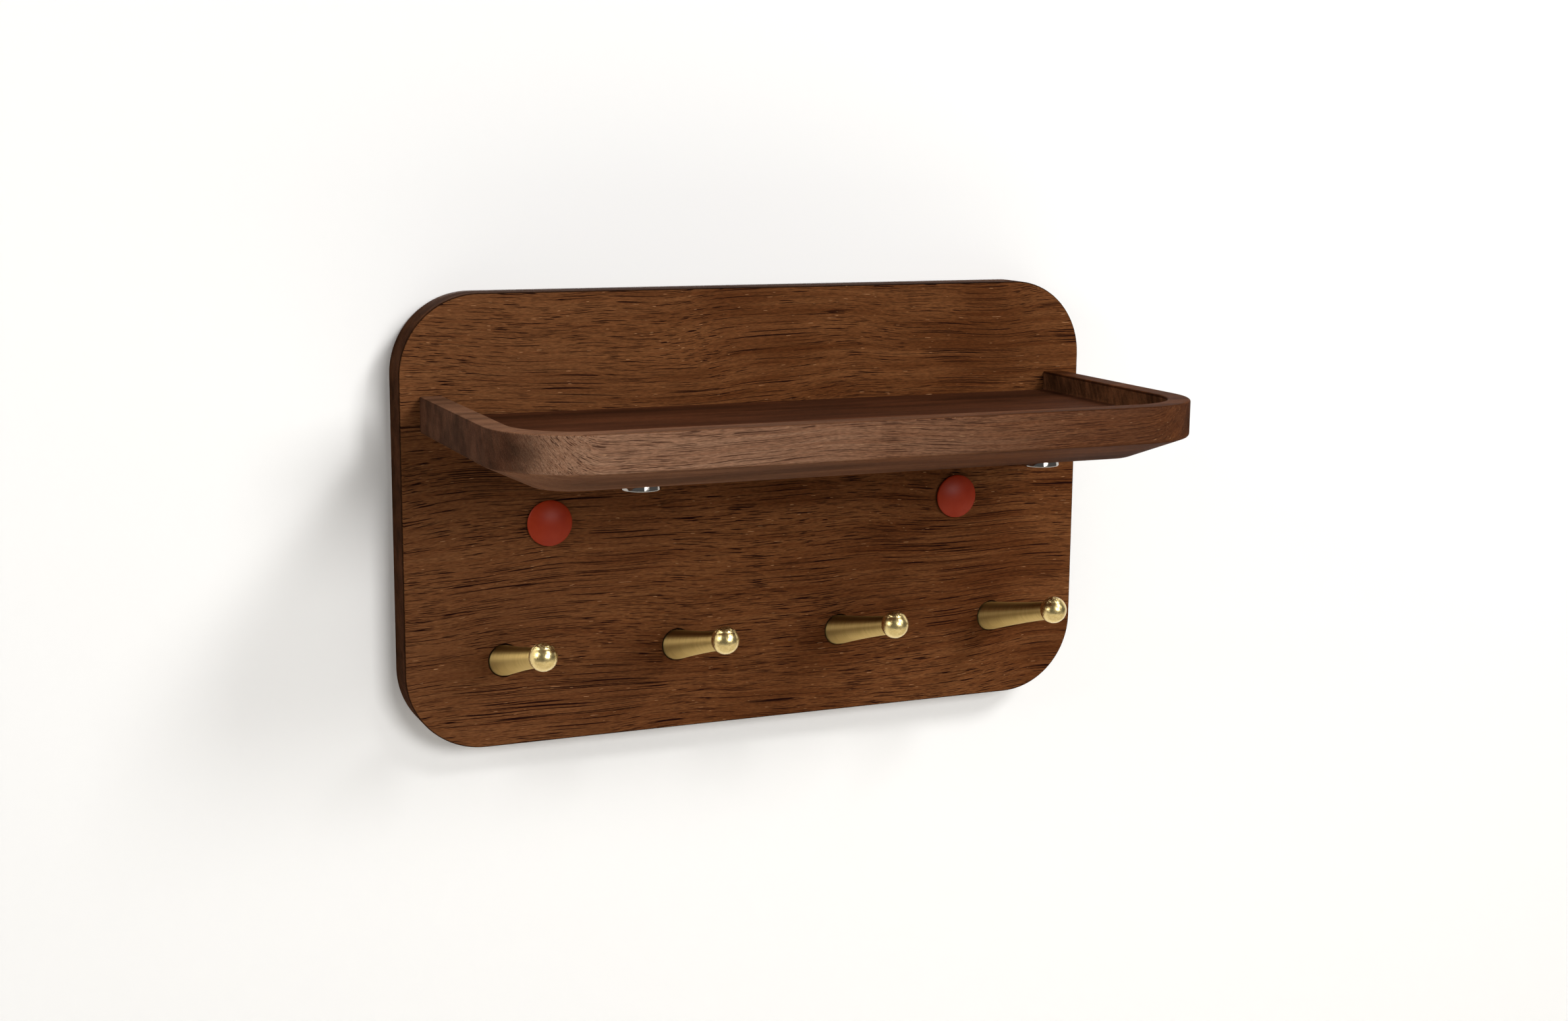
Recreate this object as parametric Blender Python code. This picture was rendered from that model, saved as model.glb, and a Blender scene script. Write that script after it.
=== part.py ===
"""Wall-mounted key holder: a stained hardwood board that carries a routed shelf tray, four turned brass
pegs, two push-in screw caps and two key magnets under the tray.

Metres, +Z up. The origin is the centre of the board's back face, which lies against the wall. +X runs along
the board, to the right as seen from the room, +Y points into the wall, and the front faces -Y.
"""

import math

import bmesh
import bpy

# Fits and the roundness of turned and cut shapes
FIT = 0.0003                    # gap left between two pieces that touch
OVERCUT = 0.002                 # how far a cutter runs past the face that it opens
TURN_STEPS = 24
FASTENER_STEPS = 12
CORNER_STEPS = 12
SHARPEST_CORNER = 0.001

# Back board
BOARD_WIDTH = 0.300
BOARD_HEIGHT = 0.181
BOARD_THICKNESS = 0.016
BOARD_CORNER_RADIUS = 0.032
BOARD_EDGE_EASE = 0.0008

# Shelf tray, one plank with a recess routed in its top and a bevel along its underside
TRAY_END_INSET = 0.008          # from each end of the board to the tray's side
TRAY_TOP_DROP = 0.039           # from the board's top edge down to the rim
TRAY_DEPTH = 0.122
TRAY_WALL_HEIGHT = 0.014        # upright outer face
TRAY_BEVEL_DROP = 0.0095
TRAY_BEVEL_RUN = 0.025          # along the front
TRAY_END_BEVEL_RUN = 0.020      # along the two sides
TRAY_CORNER_RADIUS = 0.034
TRAY_RIM = 0.009
TRAY_RECESS = 0.008
TRAY_EDGE_EASE = 0.0006

# Turned brass pegs, set square in sockets that are drilled at a slant
PEG_COUNT = 4
PEG_END_INSET = 0.040           # from each end of the board to the outer pegs
PEG_RISE = 0.035                # from the board's bottom edge
PEG_TILT = math.radians(14.5)
PEG_REACH = 0.0548              # from the board's face to the middle of the ball
PEG_FOOT_DIAMETER = 0.0121
PEG_NECK_DIAMETER = 0.0076
PEG_BALL_DIAMETER = 0.0110
PEG_SOCKET_DEPTH = 0.004
PEG_TAPER_CURVE = 1.5           # 1 is a straight cone, more is hollower
PEG_TAPER_STEPS = 5
PEG_BALL_STEPS = 8

# Machine screws that hold the pegs from behind
PEG_SCREW_DIAMETER = 0.004
PEG_SCREW_HEAD_DIAMETER = 0.0078
PEG_SCREW_HEAD_HEIGHT = 0.0026
PEG_SCREW_ENGAGEMENT = 0.014
PEG_SCREW_COUNTERBORE = 0.0055  # from the board's back, along the peg's axis

# Wood screws and dowels between the board and the tray
SHELF_SCREW_COUNT = 3
SHELF_SCREW_END_INSET = 0.062   # from each side of the tray to the outer screws
SHELF_SCREW_DIAMETER = 0.004
SHELF_SCREW_HEAD_DIAMETER = 0.008
SHELF_SCREW_HEAD_SINK = 0.0008
SHELF_SCREW_BITE = 0.027        # how far the screw goes into the tray
DOWEL_END_INSET = 0.036         # from each side of the tray
DOWEL_DIAMETER = 0.008
DOWEL_IN_BOARD = 0.010
DOWEL_IN_TRAY = 0.020
DOWEL_EDGE_EASE = 0.0008

# Wall-screw holes and the caps that plug them
WALL_HOLE_END_INSET = 0.059     # from each end of the board
WALL_HOLE_DROP = 0.0915         # from the board's top edge
WALL_HOLE_DIAMETER = 0.005
WALL_COUNTERBORE_DIAMETER = 0.010
WALL_COUNTERBORE_DEPTH = 0.008
CAP_DIAMETER = 0.0185
CAP_EDGE_HEIGHT = 0.0013
CAP_DOME_HEIGHT = 0.0024        # above the edge
CAP_STEM_LENGTH = 0.0045
CAP_STEM_EASE = 0.0006
CAP_DOME_STEPS = 6

# Key magnets under the tray
MAGNET_END_INSET = 0.0595       # from each side of the tray
MAGNET_SETBACK = 0.005          # behind the inner edge of the tray's front bevel
MAGNET_DIAMETER = 0.015
MAGNET_THICKNESS = 0.004
MAGNET_EDGE_EASE = 0.0005
MAGNET_RECESS = 0.0016
MAGNET_SCREW_DIAMETER = 0.003
MAGNET_SCREW_HEAD_DIAMETER = 0.006
MAGNET_SCREW_BITE = 0.009       # how far the screw goes into the tray

# Screw points and the six-sided sockets in the screw heads
SCREW_POINT_LENGTH = 0.003
DRIVE_DIAMETER = 0.0028
DRIVE_DEPTH = 0.0012
DRIVE_SIDES = 6

# Places worked out from the sizes above
HALF_WIDTH = BOARD_WIDTH / 2
HALF_HEIGHT = BOARD_HEIGHT / 2
FACE_Y = -BOARD_THICKNESS
TRAY_HALF_WIDTH = HALF_WIDTH - TRAY_END_INSET
TRAY_BACK_Y = FACE_Y - FIT
TRAY_FRONT_Y = TRAY_BACK_Y - TRAY_DEPTH
TRAY_TOP_Z = HALF_HEIGHT - TRAY_TOP_DROP
TRAY_CREASE_Z = TRAY_TOP_Z - TRAY_WALL_HEIGHT
TRAY_BOTTOM_Z = TRAY_CREASE_Z - TRAY_BEVEL_DROP
TRAY_FLOOR_Z = TRAY_TOP_Z - TRAY_RECESS
TRAY_JOINT_Z = (TRAY_FLOOR_Z + TRAY_BOTTOM_Z) / 2
PEG_Z = PEG_RISE - HALF_HEIGHT
WALL_HOLE_Z = HALF_HEIGHT - WALL_HOLE_DROP
MAGNET_Y = TRAY_FRONT_Y + TRAY_BEVEL_RUN + MAGNET_SETBACK + MAGNET_DIAMETER / 2

# Rotations that point a turned piece's own +Z out of the board's front
OUT_OF_FACE = (math.pi / 2, 0.0, 0.0)
ALONG_PEG = (math.pi / 2 - PEG_TILT, 0.0, 0.0)
UPWARD = (0.0, 0.0, 0.0)


def material(name, color, roughness, metallic=0.0):
    """Principled material of one colour."""
    made = bpy.data.materials.new(name)
    made.use_nodes = True
    shader = made.node_tree.nodes["Principled BSDF"]
    shader.inputs["Base Color"].default_value = (*color, 1.0)
    shader.inputs["Roughness"].default_value = roughness
    shader.inputs["Metallic"].default_value = metallic
    made.diffuse_color = (*color, 1.0)
    return made


def finish_mesh(name, bm):
    """Turn a bmesh into a mesh with its faces pointing out and its round sides smooth."""
    bmesh.ops.recalc_face_normals(bm, faces=bm.faces)
    mesh = bpy.data.meshes.new(name)
    bm.to_mesh(mesh)
    bm.free()
    mesh.shade_smooth()
    mesh.set_sharp_from_angle(angle=math.radians(30))
    return mesh


def turned_mesh(name, profile, steps=TURN_STEPS, ring=False):
    """Turn a profile of (radius, height) points about Z; a ring's profile closes on itself."""
    bm = bmesh.new()
    verts = [bm.verts.new((radius, 0.0, height)) for radius, height in profile]
    edges = [bm.edges.new(pair) for pair in zip(verts, verts[1:])]
    if ring:
        edges.append(bm.edges.new((verts[-1], verts[0])))
    bmesh.ops.spin(bm, geom=verts + edges, cent=(0, 0, 0), axis=(0, 0, 1), angle=2 * math.pi, steps=steps,
                   use_merge=True)
    bmesh.ops.remove_doubles(bm, verts=bm.verts, dist=0.00001)
    return finish_mesh(name, bm)


def place(name, mesh, finish=None, location=(0.0, 0.0, 0.0), rotation=UPWARD, parent=None):
    """Put a mesh in the scene as a named piece."""
    piece = bpy.data.objects.new(name, mesh)
    bpy.context.scene.collection.objects.link(piece)
    piece.location = location
    piece.rotation_euler = rotation
    piece.parent = parent
    if finish:
        mesh.materials.append(finish)
    return piece


def cut(piece, name, mesh, location=(0.0, 0.0, 0.0), rotation=UPWARD, parent=None):
    """Subtract a hidden cutter from a piece."""
    cutter = place(name, mesh, None, location, rotation, parent)
    cutter.hide_render = True
    cutter.display_type = "WIRE"
    boolean = piece.modifiers.new(name, "BOOLEAN")
    boolean.operation = "DIFFERENCE"
    boolean.solver = "EXACT"
    boolean.object = cutter


def arc(center, radius, start, end, steps):
    """Points of an arc in a plane, angles in degrees."""
    points = []
    for step in range(steps + 1):
        angle = math.radians(start + (end - start) * step / steps)
        points.append((center[0] + radius * math.cos(angle), center[1] + radius * math.sin(angle)))
    return points


def bridge(bm, rings, closed):
    """Join rings of equal length with faces, all the way round or with the ends left open."""
    for lower, upper in zip(rings, rings[1:]):
        count = len(lower)
        for i in range(count if closed else count - 1):
            j = (i + 1) % count
            bm.faces.new((lower[i], lower[j], upper[j], upper[i]))


def spread(count, half_span):
    """Evenly spaced places from -half_span to half_span, or the middle for one alone."""
    if count == 1:
        return [0.0]
    return [half_span * (2 * i / (count - 1) - 1) for i in range(count)]


# Start from an empty scene
for old in list(bpy.data.objects):
    bpy.data.objects.remove(old)

WALNUT = material("walnut_stained_hardwood", (0.105, 0.046, 0.022), 0.45)
TRAY_WALNUT = material("walnut_stained_plank", (0.130, 0.060, 0.030), 0.42)
BRASS = material("satin_brass", (0.560, 0.400, 0.170), 0.28, 1.0)
CAP_PLASTIC = material("red_brown_plastic", (0.170, 0.024, 0.012), 0.35)
NICKEL = material("nickel_plate", (0.660, 0.640, 0.610), 0.08, 1.0)
ZINC_STEEL = material("zinc_plated_steel", (0.550, 0.560, 0.570), 0.35, 1.0)
BEECH = material("beech", (0.560, 0.370, 0.210), 0.70)


# Back board: a rounded rectangle with its edges eased
def board_outline(inset):
    """The board's outline in X and Z, drawn in by inset."""
    radius = max(BOARD_CORNER_RADIUS - inset, SHARPEST_CORNER)
    x = HALF_WIDTH - inset - radius
    z = HALF_HEIGHT - inset - radius
    points = []
    for corner, start in (((x, z), 0), ((-x, z), 90), ((-x, -z), 180), ((x, -z), 270)):
        points += arc(corner, radius, start, start + 90, CORNER_STEPS)
    return points


def board_mesh():
    bm = bmesh.new()
    layers = (
        (BOARD_EDGE_EASE, 0.0),
        (0.0, -BOARD_EDGE_EASE),
        (0.0, FACE_Y + BOARD_EDGE_EASE),
        (BOARD_EDGE_EASE, FACE_Y),
    )
    rings = [[bm.verts.new((x, y, z)) for x, z in board_outline(inset)] for inset, y in layers]
    bridge(bm, rings, closed=True)
    bm.faces.new(rings[0])
    bm.faces.new(rings[-1])
    return finish_mesh("back_board", bm)


board = place("back_board", board_mesh(), WALNUT)


# Shelf tray: its outline in plan is straight against the board and rounded at the two front corners
def tray_outline(end_inset, front_inset):
    """The tray's sides and front in X and Y, each drawn in by its inset, from the left back to the right back."""
    radius = max(TRAY_CORNER_RADIUS - end_inset, SHARPEST_CORNER)
    half = TRAY_HALF_WIDTH - end_inset
    front = TRAY_FRONT_Y + front_inset
    left = arc((radius - half, front + radius), radius, 180, 270, CORNER_STEPS)
    right = arc((half - radius, front + radius), radius, 270, 360, CORNER_STEPS)
    return [(-half, TRAY_BACK_Y), *left, *right, (half, TRAY_BACK_Y)]


def tray_mesh():
    bm = bmesh.new()
    ease, rim = TRAY_EDGE_EASE, TRAY_RIM
    layers = (
        (TRAY_END_BEVEL_RUN, TRAY_BEVEL_RUN, TRAY_BOTTOM_Z),
        (0.0, 0.0, TRAY_CREASE_Z),
        (0.0, 0.0, TRAY_TOP_Z - ease),
        (ease, ease, TRAY_TOP_Z),
        (rim - ease, rim - ease, TRAY_TOP_Z),
        (rim, rim, TRAY_TOP_Z - ease),
        (rim, rim, TRAY_FLOOR_Z),
    )
    rings = [[bm.verts.new((x, y, z)) for x, y in tray_outline(end, front)] for end, front, z in layers]
    bridge(bm, rings, closed=False)
    bm.faces.new(rings[0])
    bm.faces.new(rings[-1])
    bm.faces.new([ring[0] for ring in rings] + [ring[-1] for ring in reversed(rings)])
    return finish_mesh("shelf_tray", bm)


tray = place("shelf_tray", tray_mesh(), TRAY_WALNUT, parent=board)


# Screws: the same profile makes a screw, and its hole when it is grown by the fit
def countersunk_profile(diameter, head_diameter, length, grow=0.0, head_run=0.0):
    """Flat countersunk screw from its head at height 0 to its point; head_run extends a cutter outward."""
    shank = diameter / 2 + grow
    head = head_diameter / 2 + grow
    cone_end = (head_diameter - diameter) / 2
    profile = [(0.0, -head_run), (head, -head_run)]
    if head_run:
        profile.append((head, 0.0))
    return profile + [(shank, cone_end), (shank, length - SCREW_POINT_LENGTH), (0.0, length + grow)]


def drive_mesh(name):
    """Cutter for the six-sided socket in a screw head that starts at height 0."""
    radius = DRIVE_DIAMETER / 2
    profile = [(0.0, -OVERCUT), (radius, -OVERCUT), (radius, DRIVE_DEPTH), (0.0, DRIVE_DEPTH)]
    return turned_mesh(name, profile, DRIVE_SIDES)


def add_screw(name, profile, location, rotation):
    """Zinc-plated screw with a drive socket in its head."""
    screw = place(name, turned_mesh(name, profile, FASTENER_STEPS), ZINC_STEEL, location, rotation, board)
    cut(screw, name + "_drive", drive_mesh(name + "_drive"), parent=screw)


# Pegs: a straight foot in the socket, a hollow taper and a ball, with a tapped hole up the foot
def peg_profile():
    foot = PEG_FOOT_DIAMETER / 2
    neck = PEG_NECK_DIAMETER / 2
    ball = PEG_BALL_DIAMETER / 2
    tap = PEG_SCREW_DIAMETER / 2 + FIT
    tap_end = PEG_SCREW_ENGAGEMENT + FIT
    foot_end = PEG_SOCKET_DEPTH + foot * math.tan(PEG_TILT)
    ball_middle = PEG_SOCKET_DEPTH - FIT + PEG_REACH
    neck_end = ball_middle - math.sqrt(ball ** 2 - neck ** 2)
    profile = [(0.0, tap_end), (tap, tap_end), (tap, 0.0), (foot, 0.0), (foot, foot_end)]
    for step in range(1, PEG_TAPER_STEPS + 1):
        share = step / PEG_TAPER_STEPS
        radius = neck + (foot - neck) * (1 - share) ** PEG_TAPER_CURVE
        profile.append((radius, foot_end + share * (neck_end - foot_end)))
    ball_start = math.degrees(math.asin(neck / ball)) - 90
    ball_points = arc((0.0, ball_middle), ball, ball_start, 90, PEG_BALL_STEPS)
    return profile + ball_points[1:-1] + [(0.0, ball_middle + ball)]


def peg_screw_profile():
    """Pan-head machine screw, from its head at height 0 to its flat end."""
    shank = PEG_SCREW_DIAMETER / 2
    head = PEG_SCREW_HEAD_DIAMETER / 2
    grip = BOARD_THICKNESS / math.cos(PEG_TILT) - PEG_SCREW_COUNTERBORE - PEG_SOCKET_DEPTH + 2 * FIT
    end = PEG_SCREW_HEAD_HEIGHT + grip + PEG_SCREW_ENGAGEMENT
    return [(0.0, 0.0), (head, 0.0), (head, PEG_SCREW_HEAD_HEIGHT), (shank, PEG_SCREW_HEAD_HEIGHT),
            (shank, end), (0.0, end)]


def peg_hole_profile():
    """Counterbore, clearance hole and socket in one, with height 0 on the board's face."""
    head = PEG_SCREW_HEAD_DIAMETER / 2 + FIT
    shank = PEG_SCREW_DIAMETER / 2 + FIT
    foot = PEG_FOOT_DIAMETER / 2 + FIT
    back = -BOARD_THICKNESS / math.cos(PEG_TILT)
    seat = back + PEG_SCREW_COUNTERBORE
    back_end = back - head * math.tan(PEG_TILT) - OVERCUT
    front_end = foot * math.tan(PEG_TILT) + OVERCUT
    return [(0.0, back_end), (head, back_end), (head, seat), (shank, seat), (shank, -PEG_SOCKET_DEPTH),
            (foot, -PEG_SOCKET_DEPTH), (foot, front_end), (0.0, front_end)]


def along_peg(x, distance):
    """A place on a peg's axis, at a distance out from the board's face."""
    return (x, FACE_Y - distance * math.cos(PEG_TILT), PEG_Z + distance * math.sin(PEG_TILT))


peg_foot = FIT - PEG_SOCKET_DEPTH
peg_screw_seat = PEG_SCREW_COUNTERBORE - BOARD_THICKNESS / math.cos(PEG_TILT)
for number, x in enumerate(spread(PEG_COUNT, HALF_WIDTH - PEG_END_INSET), start=1):
    hole = f"peg_hole_{number}"
    cut(board, hole, turned_mesh(hole, peg_hole_profile()), along_peg(x, 0.0), ALONG_PEG)
    peg = f"peg_{number}"
    place(peg, turned_mesh(peg, peg_profile()), BRASS, along_peg(x, peg_foot), ALONG_PEG, board)
    head_start = peg_screw_seat - FIT - PEG_SCREW_HEAD_HEIGHT
    add_screw(f"peg_screw_{number}", peg_screw_profile(), along_peg(x, head_start), ALONG_PEG)


# Shelf screws: through the board from behind, into the middle of the plank under the recess
shelf_screw_start = -SHELF_SCREW_HEAD_SINK
shelf_screw_length = BOARD_THICKNESS - SHELF_SCREW_HEAD_SINK + FIT + SHELF_SCREW_BITE
shelf_screw = (SHELF_SCREW_DIAMETER, SHELF_SCREW_HEAD_DIAMETER, shelf_screw_length)
for number, x in enumerate(spread(SHELF_SCREW_COUNT, TRAY_HALF_WIDTH - SHELF_SCREW_END_INSET), start=1):
    place_at = (x, shelf_screw_start, TRAY_JOINT_Z)
    hole_profile = countersunk_profile(*shelf_screw, grow=FIT, head_run=OVERCUT)
    for wood, word in ((board, "board"), (tray, "tray")):
        hole = f"shelf_screw_hole_{word}_{number}"
        cut(wood, hole, turned_mesh(hole, hole_profile, FASTENER_STEPS), place_at, OUT_OF_FACE)
    add_screw(f"shelf_screw_{number}", countersunk_profile(*shelf_screw), place_at, OUT_OF_FACE)


# Dowels: they keep the tray level on the board, half in each
def dowel_profile(grow=0.0):
    radius = DOWEL_DIAMETER / 2 + grow
    start = -DOWEL_IN_BOARD - grow
    end = DOWEL_IN_TRAY + FIT + grow
    eased = radius - DOWEL_EDGE_EASE
    return [(0.0, start), (eased, start), (radius, start + DOWEL_EDGE_EASE), (radius, end - DOWEL_EDGE_EASE),
            (eased, end), (0.0, end)]


for side, word in ((-1, "left"), (1, "right")):
    place_at = (side * (TRAY_HALF_WIDTH - DOWEL_END_INSET), FACE_Y, TRAY_JOINT_Z)
    for wood, wood_word in ((board, "board"), (tray, "tray")):
        hole = f"dowel_hole_{wood_word}_{word}"
        cut(wood, hole, turned_mesh(hole, dowel_profile(FIT), FASTENER_STEPS), place_at, OUT_OF_FACE)
    dowel = f"shelf_dowel_{word}"
    place(dowel, turned_mesh(dowel, dowel_profile(), FASTENER_STEPS), BEECH, place_at, OUT_OF_FACE, board)


# Wall-screw holes, each plugged by a domed cap whose stem pushes into the counterbore
def wall_hole_profile():
    """Hole and counterbore in one, with height 0 on the board's face."""
    hole = WALL_HOLE_DIAMETER / 2
    counterbore = WALL_COUNTERBORE_DIAMETER / 2
    back = -BOARD_THICKNESS - OVERCUT
    seat = -WALL_COUNTERBORE_DEPTH
    return [(0.0, back), (hole, back), (hole, seat), (counterbore, seat), (counterbore, OVERCUT),
            (0.0, OVERCUT)]


def cap_profile():
    stem = WALL_COUNTERBORE_DIAMETER / 2 - FIT
    edge = CAP_DIAMETER / 2
    dome_radius = (edge ** 2 + CAP_DOME_HEIGHT ** 2) / (2 * CAP_DOME_HEIGHT)
    edge_top = FIT + CAP_EDGE_HEIGHT
    dome_top = edge_top + CAP_DOME_HEIGHT
    dome_start = math.degrees(math.acos(edge / dome_radius))
    dome = arc((0.0, dome_top - dome_radius), dome_radius, dome_start, 90, CAP_DOME_STEPS)
    return [(0.0, -CAP_STEM_LENGTH), (stem - CAP_STEM_EASE, -CAP_STEM_LENGTH),
            (stem, CAP_STEM_EASE - CAP_STEM_LENGTH), (stem, FIT), (edge, FIT), *dome[:-1], (0.0, dome_top)]


for side, word in ((-1, "left"), (1, "right")):
    place_at = (side * (HALF_WIDTH - WALL_HOLE_END_INSET), FACE_Y, WALL_HOLE_Z)
    hole = f"wall_hole_{word}"
    cut(board, hole, turned_mesh(hole, wall_hole_profile()), place_at, OUT_OF_FACE)
    cap = f"screw_cap_{word}"
    place(cap, turned_mesh(cap, cap_profile()), CAP_PLASTIC, place_at, OUT_OF_FACE, board)


# Key magnets: countersunk rings let a little into the tray's underside, each with its screw
magnet_lower_z = TRAY_BOTTOM_Z + MAGNET_RECESS - FIT - MAGNET_THICKNESS
magnet_screw_length = MAGNET_THICKNESS + FIT + MAGNET_SCREW_BITE
magnet_screw = (MAGNET_SCREW_DIAMETER, MAGNET_SCREW_HEAD_DIAMETER, magnet_screw_length)


def magnet_profile():
    """Ring with eased edges and a countersunk hole, from its lower face at height 0."""
    edge = MAGNET_DIAMETER / 2
    eased = edge - MAGNET_EDGE_EASE
    hole = MAGNET_SCREW_DIAMETER / 2 + FIT
    head = MAGNET_SCREW_HEAD_DIAMETER / 2 + FIT
    cone_end = (MAGNET_SCREW_HEAD_DIAMETER - MAGNET_SCREW_DIAMETER) / 2
    return [(head, 0.0), (eased, 0.0), (edge, MAGNET_EDGE_EASE), (edge, MAGNET_THICKNESS - MAGNET_EDGE_EASE),
            (eased, MAGNET_THICKNESS), (hole, MAGNET_THICKNESS), (hole, cone_end)]


def magnet_seat_profile():
    """Shallow recess for the magnet and the hole for its screw, from the magnet's lower face."""
    recess = MAGNET_DIAMETER / 2 + FIT
    screw = MAGNET_SCREW_DIAMETER / 2 + FIT
    recess_end = MAGNET_THICKNESS + FIT
    return [(0.0, 0.0), (recess, 0.0), (recess, recess_end), (screw, recess_end),
            (screw, magnet_screw_length - SCREW_POINT_LENGTH), (0.0, magnet_screw_length + FIT)]


for side, word in ((-1, "left"), (1, "right")):
    place_at = (side * (TRAY_HALF_WIDTH - MAGNET_END_INSET), MAGNET_Y, magnet_lower_z)
    seat = f"magnet_seat_{word}"
    cut(tray, seat, turned_mesh(seat, magnet_seat_profile()), place_at)
    magnet = f"key_magnet_{word}"
    place(magnet, turned_mesh(magnet, magnet_profile(), ring=True), NICKEL, place_at, UPWARD, board)
    add_screw(f"magnet_screw_{word}", countersunk_profile(*magnet_screw), place_at, UPWARD)
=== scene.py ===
"""Looks of the wall key holder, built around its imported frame: a stained walnut board with a
routed shelf tray, turned brass pegs, moulded screw caps and nickel key magnets, hung on a plain
white wall.

Metres, +Z up. The board's back lies on the wall at Y = 0, and its front faces -Y.
"""

import math

import bmesh
import bpy
from mathutils import Matrix, Vector


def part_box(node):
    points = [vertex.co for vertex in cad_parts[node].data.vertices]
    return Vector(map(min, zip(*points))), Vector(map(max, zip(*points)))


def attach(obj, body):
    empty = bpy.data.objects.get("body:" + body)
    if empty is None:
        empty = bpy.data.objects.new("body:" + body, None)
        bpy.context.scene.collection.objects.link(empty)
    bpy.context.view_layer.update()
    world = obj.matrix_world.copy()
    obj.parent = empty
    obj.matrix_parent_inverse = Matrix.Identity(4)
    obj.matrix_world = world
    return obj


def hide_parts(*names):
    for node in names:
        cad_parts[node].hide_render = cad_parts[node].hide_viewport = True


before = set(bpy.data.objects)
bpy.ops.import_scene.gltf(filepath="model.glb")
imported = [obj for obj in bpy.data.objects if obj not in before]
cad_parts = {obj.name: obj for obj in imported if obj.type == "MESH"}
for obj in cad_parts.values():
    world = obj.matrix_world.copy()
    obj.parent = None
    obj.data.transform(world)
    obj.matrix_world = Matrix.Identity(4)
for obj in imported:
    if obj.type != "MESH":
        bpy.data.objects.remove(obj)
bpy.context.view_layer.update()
scene = bpy.context.scene
scene.view_settings.view_transform = "Standard"


# Camera: a 48 mm lens about 0.9 m from the board, to its left and a little above it.
# The place and the angles were fitted to the board's and the tray's straight edges.
CAMERA_PLACE = (-0.3332, -0.8063, 0.1509)
CAMERA_TURN = math.radians(23.52)
CAMERA_DIP = math.radians(10.09)
CAMERA_ROLL = math.radians(0.51)
LENS_MM = 48.3
SENSOR_MM = 36.0

turn = Matrix.Rotation(-CAMERA_TURN, 4, "Z")
dip = Matrix.Rotation(math.pi / 2 - CAMERA_DIP, 4, "X")
roll = Matrix.Rotation(CAMERA_ROLL, 4, "Z")
camera = bpy.data.objects.new("camera", bpy.data.cameras.new("camera"))
camera.data.sensor_fit = "HORIZONTAL"
camera.data.sensor_width = SENSOR_MM
camera.data.lens = LENS_MM
camera.matrix_world = Matrix.Translation(CAMERA_PLACE) @ turn @ dip @ roll
scene.collection.objects.link(camera)
scene.camera = camera


# Back board: one piece of walnut-stained hardwood, cut to a rounded rectangle, with its edges
# eased by hand. Sockets for the pegs, wall-screw holes, screw seats and dowel holes are drilled
# in it, and the middle of each eased edge is painted darker, as painted shade.
BOARD_CORNER_RADIUS = 0.032
BOARD_EDGE_EASE = 0.0009
CORNER_STEPS = 24
EASE_STEPS = 5
EASE_SHARE = 0.45               # the most of a side that one eased corner takes up
EASE_MARGIN = 3                 # flat left beside an eased edge, in eases
HOLE_STEPS = 64
MERGE_DISTANCE = 1e-6
SHARP_ANGLE = math.radians(40)
OVERCUT = 0.002                 # how far a cutter reaches past the face it opens
FIT = 0.0003                    # between a hole and what sits in it

board_low, board_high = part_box("back_board")
BOARD_FACE_Y = board_low.y
board_thickness = board_high.y - board_low.y


def arc(center, radius, start, end, steps):
    """Points of an arc in a plane, angles in degrees."""
    angles = [math.radians(start + (end - start) * step / steps) for step in range(steps + 1)]
    return [(center[0] + radius * math.cos(a), center[1] + radius * math.sin(a)) for a in angles]


def eased(line, reach):
    """Round the inner corners of a line of 2-D points, starting at most reach from each corner."""
    line = [Vector(point) for point in line]
    made = [line[0]]
    for before, corner, after in zip(line, line[1:], line[2:]):
        behind, ahead = before - corner, after - corner
        start = corner + behind.normalized() * min(reach, behind.length * EASE_SHARE)
        end = corner + ahead.normalized() * min(reach, ahead.length * EASE_SHARE)
        for step in range(EASE_STEPS + 1):
            share = step / EASE_STEPS
            made.append(start.lerp(corner, share).lerp(corner.lerp(end, share), share))
    return made + [line[-1]]


def bridge(bm, rings, closed=True):
    """Join rings of equal length with faces, all the way round or with the ends left open."""
    for lower, upper in zip(rings, rings[1:]):
        count = len(lower)
        for i in range(count if closed else count - 1):
            j = (i + 1) % count
            bm.faces.new((lower[i], lower[j], upper[j], upper[i]))


def finish_mesh(name, bm):
    """Turn a bmesh into a mesh with its faces pointing out."""
    bmesh.ops.recalc_face_normals(bm, faces=bm.faces)
    mesh = bpy.data.meshes.new(name)
    bm.to_mesh(mesh)
    bm.free()
    return mesh


def turned_mesh(name, profile, steps=HOLE_STEPS, ring=False):
    """Turn a profile of (radius, height) points about Z; a ring's profile closes on itself."""
    bm = bmesh.new()
    verts = [bm.verts.new((radius, 0.0, height)) for radius, height in profile]
    edges = [bm.edges.new(pair) for pair in zip(verts, verts[1:])]
    if ring:
        edges.append(bm.edges.new((verts[-1], verts[0])))
    bmesh.ops.spin(bm, geom=verts + edges, cent=(0, 0, 0), axis=(0, 0, 1), angle=2 * math.pi,
                   steps=steps, use_merge=True)
    bmesh.ops.remove_doubles(bm, verts=bm.verts, dist=MERGE_DISTANCE)
    return finish_mesh(name, bm)


def show(name, mesh, place=Matrix.Identity(4)):
    """Put a mesh in the scene under a name."""
    piece = bpy.data.objects.new(name, mesh)
    scene.collection.objects.link(piece)
    piece.matrix_world = place
    return piece


def drill(piece, cutters):
    """Cut the cutters out of a piece, then throw them away."""
    for cutter in cutters:
        boolean = piece.modifiers.new(cutter.name, "BOOLEAN")
        boolean.operation = "DIFFERENCE"
        boolean.object = cutter
    ready = piece.evaluated_get(bpy.context.evaluated_depsgraph_get())
    mesh = bpy.data.meshes.new_from_object(ready)
    piece.modifiers.clear()
    piece.data = mesh
    for cutter in cutters:
        bpy.data.objects.remove(cutter)


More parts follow.
